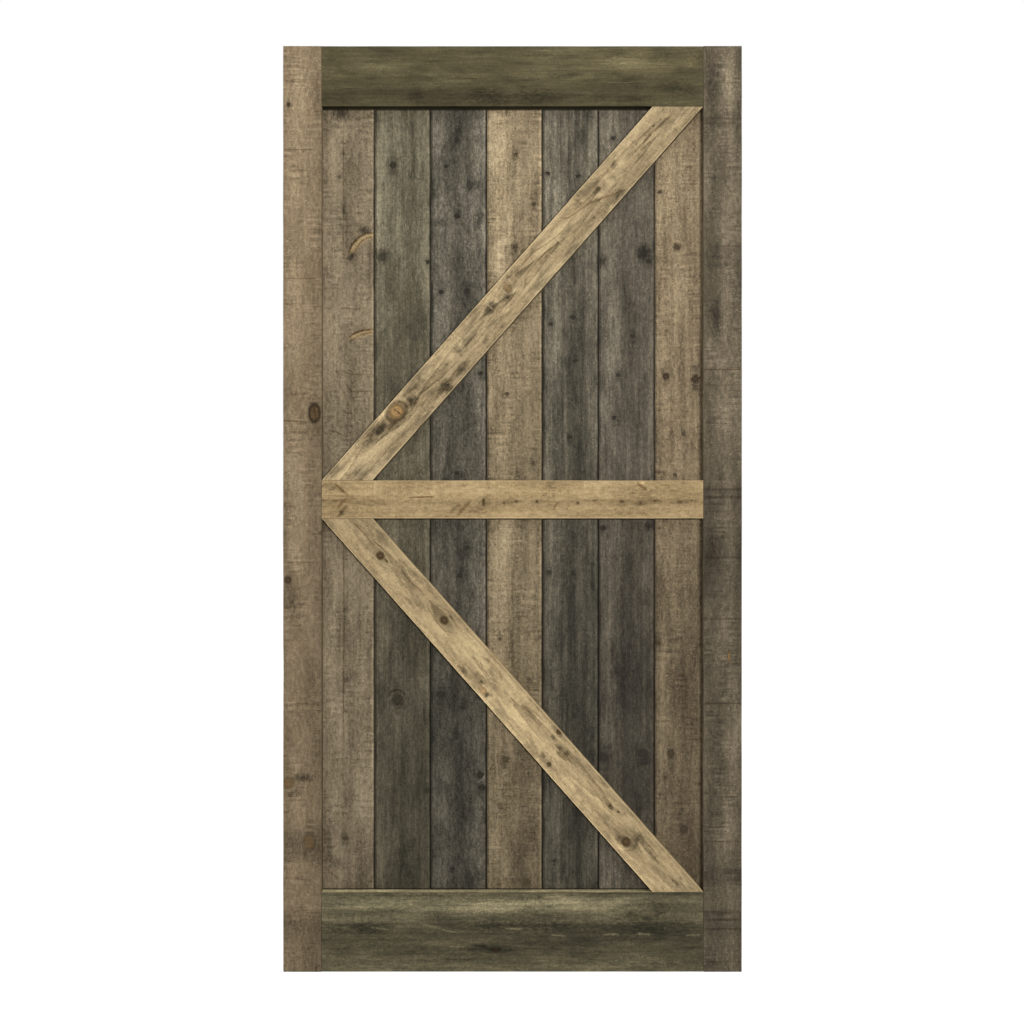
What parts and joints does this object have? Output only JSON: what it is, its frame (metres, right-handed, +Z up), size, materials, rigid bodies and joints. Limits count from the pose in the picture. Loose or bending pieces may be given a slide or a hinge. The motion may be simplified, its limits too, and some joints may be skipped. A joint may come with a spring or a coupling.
{
  "type": "barn door slab",
  "caption": "Sliding barn door slab of reclaimed-look boards: stiles, rails and a K brace over tongue-and-groove planks, with a floor-guide groove in its bottom edge.",
  "frame": {"origin": "bottom edge of the slab, on its centre line, on the plane where the face boards meet the planks", "axes": "+X across the door, to the right as seen from the front; +Y from front to back; +Z up"},
  "size_m": [1.058, 0.038, 2.134],
  "materials": {
    "brown_wood": "weathered, matt, brushed grain",
    "umber_wood": "weathered, matt, brushed grain",
    "olive_wood": "weathered, matt, brushed grain",
    "straw_wood": "weathered, matt, brushed grain",
    "tan_wood": "weathered, matt, brushed grain",
    "grey_wood": "weathered, matt, brushed grain",
    "slate_wood": "weathered, matt, brushed grain",
    "screw_steel": "dark phosphate, satin"
  },
  "bodies": {
    "root": {"left_stile": "brown_wood", "right_stile": "umber_wood", "top_rail": "olive_wood", "mid_rail": "straw_wood", "bottom_rail": "olive_wood", "upper_brace": "straw_wood", "lower_brace": "straw_wood", "left_edge_plank": "umber_wood", "plank_1": "tan_wood", "plank_2": "grey_wood", "plank_3": "slate_wood", "plank_4": "tan_wood", "plank_5": "slate_wood", "plank_6": "grey_wood", "plank_7": "tan_wood", "right_edge_plank": "umber_wood", "left_stile_screws": "screw_steel", "right_stile_screws": "screw_steel", "top_rail_screws": "screw_steel", "mid_rail_screws": "screw_steel", "bottom_rail_screws": "screw_steel", "upper_brace_screws": "screw_steel", "lower_brace_screws": "screw_steel"}
  },
  "joints": []
}
